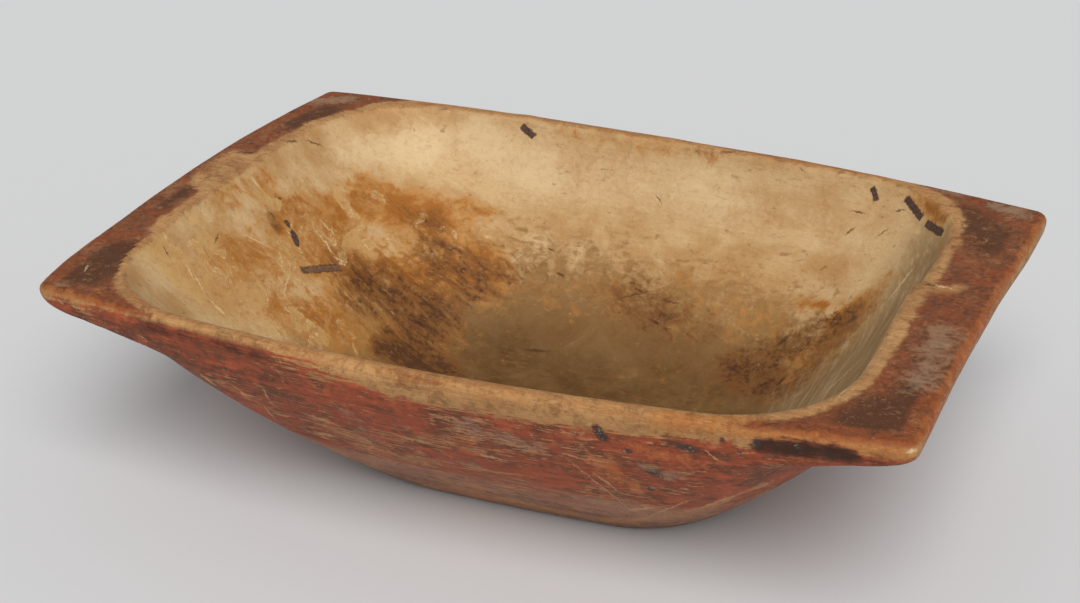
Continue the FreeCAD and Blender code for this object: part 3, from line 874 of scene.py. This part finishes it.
def troughFinish():
    material = emptyMaterial("wornTroughWood")
    brush = Brush(material.node_tree)
    grain, mottle, speck, fine = brush.noises("grain", "mottle", "speck", "fine")
    hollow, lipGap, fillGap = brush.amounts("hollow", "lipGap", "fillGap")
    belowLip = hollow * (1 - lipGap.smooth(-0.008, 0.0))
    bare = bareRim(brush)
    colour = brush.blend(paintedOutside(brush, bare), paintedTop(brush, bare), brush.amount("onTop"))
    colour = brush.blend(colour, bare, hollow)
    colour = brush.blend(colour, hollowWood(brush), belowLip)
    nearFill = 0.72 - fillGap.smooth(0.0, 0.0035)
    colour = brush.lay(colour, "umber", nearFill, both(speck, mottle), soft=0.3, share=0.7)
    colour = brush.blend(colour, "paleCream", brush.strokes("paleLine") * 0.6)
    colour = brush.blend(colour, "outsideWood", brush.strokes("scratch", 0.5) * 0.8)
    colour = brush.blend(colour, "umber", brush.strokes("darkFleck", 0.8) * 0.75)
    pores = 1 - both(speck, fine).smooth(0.0, 0.65)
    colour = brush.blend(colour, "umber", pores * (0.20 - belowLip * 0.14))
    chipTone = brush.lay("chip", "greyHaze", 0.35, both(fine, mottle), soft=0.2)
    colour = brush.blend(colour, chipTone, brush.strokes("chip") * 0.85)
    height = grain * 0.35 + mottle * 0.40 + fine * 0.25
    bump = brush.start.node("ShaderNodeBump", None, {
        "Strength": troughSurface["bumpStrength"], "Distance": troughSurface["bumpDepth"], "Height": height})
    roughness = troughSurface["roughness"] + mottle * 0.12 + fine * 0.08
    shader = brush.start.node("ShaderNodeBsdfPrincipled", None, {
        "Base Color": colour, "Roughness": roughness, "Specular IOR Level": troughSurface["specular"],
        "Normal": bump})
    brush.start.node("ShaderNodeOutputMaterial", None, {"Surface": shader})
    return material


galleryFills = {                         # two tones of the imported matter, and the fills that have faded
    "dark": ((0.042, 0.023, 0.019), (0.095, 0.046, 0.030)),
    "faded": ((0.095, 0.045, 0.028), (0.185, 0.090, 0.048)),
    "fadedNodes": ("fill_left_long",),
    "gritScale": 420.0,
    "gritDetail": 4.0,
    "gritSpan": (0.35, 0.65),
    "roughness": 0.62,                   # at its smoothest
    "gritRoughness": 0.2,
    "bumpStrength": 0.4,
    "bumpDepth": 0.0006,                 # metres
}


def fillFinish(tone):
    material = emptyMaterial(tone + "Gallery")
    start = Wire(material.node_tree)
    objectPlace = start.node("ShaderNodeTexCoord", output="Object")
    grit = start.node("ShaderNodeTexNoise", None, {
        "Vector": objectPlace, "Scale": galleryFills["gritScale"], "Detail": galleryFills["gritDetail"]})
    low, high = galleryFills[tone]
    colour = start.node("ShaderNodeMix", {"data_type": "RGBA"}, {
        "Factor_Float": grit.smooth(*galleryFills["gritSpan"]),
        "A_Color": (*low, 1), "B_Color": (*high, 1)}, "Result_Color")
    bump = start.node("ShaderNodeBump", None, {
        "Strength": galleryFills["bumpStrength"], "Distance": galleryFills["bumpDepth"], "Height": grit})
    roughness = galleryFills["roughness"] + grit * galleryFills["gritRoughness"]
    shader = start.node("ShaderNodeBsdfPrincipled", None, {
        "Base Color": colour, "Roughness": roughness, "Normal": bump})
    start.node("ShaderNodeOutputMaterial", None, {"Surface": shader})
    return material


# hewing by hand: slow waves in the surface, a sagging rim, and ends that aren't quite true

hewing = {
    "Wave depth": 0.0009,                # metres
    "Wave spacing": 0.075,
    "Front sag": 0.0024,
    "Back sag": 0.0018,
    "Corner droop": 0.001,
    "Left corner reach": 0.005,          # the front left corner, along the trough
    "Right end hollow": 0.004,           # the middle of the right lug's edge
    "Lip step": 0.0045,                  # how far the right lip overhangs in front of its split
    "Seed": 4,
}

hewingPlaces = {                         # metres
    "rightCorner": (0.355, -0.215, 0.19),
    "leftCorner": (-0.345, -0.205, 0.19),
    "sagMiddle": -0.03,                  # along the trough
    "endMiddle": -0.02,                  # across it
    "lipMiddle": -0.004,                 # off the lip, over the hollow
}

hewingSpans = {                          # metres over which each change comes in or fades
    "offFill": (0.004, 0.020),
    "offBase": (0.0, 0.030),             # the flat base stays flat
    "rimHeight": (0.110, 0.195),
    "sagLength": (0.02, 0.30),
    "frontRim": (-0.24, -0.12),
    "backRim": (0.12, 0.24),
    "rightCorner": (0.0, 0.13),
    "leftCorner": (0.0, 0.12),
    "lip": (0.006, 0.034),
    "split": (0.030, 0.041),
    "stepStart": (-0.12, 0.02),
    "stepEnd": (0.20, 0.26),
    "stepHeight": (0.120, 0.175),
    "endWidth": (0.04, 0.19),
    "endEdge": (0.300, 0.345),
    "endHeight": (0.120, 0.170),
}
waveDetail = 1.5
waveRoughness = 0.5


def hewingTree(material):
    tree = bpy.data.node_groups.new("handHewing", "GeometryNodeTree")
    face = tree.interface
    face.new_socket("Geometry", in_out="INPUT", socket_type="NodeSocketGeometry")
    for name, value in hewing.items():
        kind = "NodeSocketInt" if isinstance(value, int) else "NodeSocketFloat"
        face.new_socket(name, in_out="INPUT", socket_type=kind)
    face.new_socket("Geometry", in_out="OUTPUT", socket_type="NodeSocketGeometry")
    start = Wire(tree)
    group = tree.nodes.new("NodeGroupInput")
    spot = start.node("GeometryNodeInputPosition")
    x, y, z = (start.node("ShaderNodeSeparateXYZ", None, {0: spot}, axis) for axis in "XYZ")

    def given(name):
        return Wire(tree, group.outputs[name])

    def stored(name):
        return start.node("GeometryNodeInputNamedAttribute", {"data_type": "FLOAT"}, {"Name": name})

    def along(value, span):              # 0 to 1 over the span of that name
        return value.smooth(*hewingSpans[span])

    def awayFrom(corner):
        return start.node("ShaderNodeVectorMath", {"operation": "DISTANCE"},
                          {0: spot, 1: hewingPlaces[corner]}, "Value")

    normals = start.node("GeometryNodeInputNormal")
    wave = start.node("ShaderNodeTexNoise", {"noise_dimensions": "4D"}, {
        "Vector": spot, "W": given("Seed"), "Scale": 1 / given("Wave spacing"),
        "Detail": waveDetail, "Roughness": waveRoughness})
    clear = along(stored("fillGap"), "offFill")
    lift = (wave - 0.5) * 2 * given("Wave depth") * clear * along(z, "offBase")
    waved = start.node("ShaderNodeVectorMath", {"operation": "SCALE"}, {0: normals, "Scale": lift})
    rims = given("Front sag") * (1 - along(y, "frontRim")) + given("Back sag") * along(y, "backRim")
    sagMiddle = 1 - along(abs(x - hewingPlaces["sagMiddle"]), "sagLength")
    sag = rims * sagMiddle * along(z, "rimHeight")
    droop = given("Corner droop") * (1 - along(awayFrom("rightCorner"), "rightCorner"))
    nearLip = 1 - along(abs(stored("lipGap") - hewingPlaces["lipMiddle"]), "lip")
    inFront = (1 - along(y, "split")) * along(y, "stepStart")
    step = given("Lip step") * nearLip * inFront * along(x, "stepEnd") * along(z, "stepHeight")
    longer = given("Left corner reach") * (1 - along(awayFrom("leftCorner"), "leftCorner")) * clear
    endMiddle = 1 - along(abs(y - hewingPlaces["endMiddle"]), "endWidth")
    hollowed = given("Right end hollow") * endMiddle * along(x, "endEdge") * along(z, "endHeight")
    moved = start.node("ShaderNodeCombineXYZ", None, {
        0: 0 - (step + longer + hollowed), 2: 0 - (sag + droop) * clear})
    offset = start.node("ShaderNodeVectorMath", {"operation": "ADD"}, {0: waved, 1: moved})
    shaped = start.node("GeometryNodeSetPosition", None, {"Geometry": given("Geometry"), "Offset": offset})
    real = start.node("GeometryNodeRealizeInstances", None, {0: shaped})
    dressed = start.node("GeometryNodeSetMaterial", None, {"Geometry": real, "Material": material})
    start.node("NodeGroupOutput", None, {0: dressed})
    return tree


def hew(piece, material):
    tree = hewingTree(material)
    work = piece.modifiers.new("handHewing", "NODES")
    work.node_group = tree
    for socket in tree.interface.items_tree:
        if socket.in_out == "INPUT" and socket.name in hewing:
            work[socket.identifier] = hewing[socket.name]
    shaped = applied(piece, work)
    shaped.polygons.foreach_set("use_smooth", [True] * len(shaped.polygons))
    shaped.update()


hew(carvedTrough, troughFinish())
print("trough hewn")

gallery = {tone: fillFinish(tone) for tone in ("dark", "faded")}
for name in fillNames:
    nodes[name].data.materials.clear()
    nodes[name].data.materials.append(gallery["faded" if name in galleryFills["fadedNodes"] else "dark"])
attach(carvedTrough, "root")
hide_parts("trough_body")
print("fills dressed:", len(fillNames))


# floor and light

studio = {
    "floorSize": 12.0,
    "floorColour": (0.64, 0.66, 0.69),
    "floorRoughness": 0.8,
    "skyColour": (1.0, 0.985, 0.96),
    "skyStrength": 0.38,
    "keyFrom": (0.9, -1.6, 2.0),
    "keySpread": 40,                     # degrees, as wide as a large soft box
    "keyStrength": 2.7,
    "keyColour": (1.0, 0.97, 0.93),
}


def makeStudio():
    half = studio["floorSize"] / 2
    corners = [(-half, -half, 0), (half, -half, 0), (half, half, 0), (-half, half, 0)]
    mesh = bpy.data.meshes.new("floor")
    mesh.from_pydata(corners, [], [(0, 1, 2, 3)])
    floor = bpy.data.objects.new("floor", mesh)
    scene.collection.objects.link(floor)
    paper = bpy.data.materials.new("palePaper")
    paper.use_nodes = True
    shader = paper.node_tree.nodes["Principled BSDF"]
    shader.inputs["Base Color"].default_value = (*studio["floorColour"], 1)
    shader.inputs["Roughness"].default_value = studio["floorRoughness"]
    mesh.materials.append(paper)
    sky = bpy.data.worlds.new("studioSky")
    sky.use_nodes = True
    glow = sky.node_tree.nodes["Background"]
    glow.inputs["Color"].default_value = (*studio["skyColour"], 1)
    glow.inputs["Strength"].default_value = studio["skyStrength"]
    scene.world = sky
    lamp = bpy.data.lights.new("softKey", "SUN")
    lamp.angle = math.radians(studio["keySpread"])
    lamp.energy = studio["keyStrength"]
    lamp.color = studio["keyColour"]
    key = bpy.data.objects.new("softKey", lamp)
    key.location = studio["keyFrom"]
    key.rotation_euler = key.location.to_track_quat("Z", "Y").to_euler()
    scene.collection.objects.link(key)


makeStudio()
print("studio set")
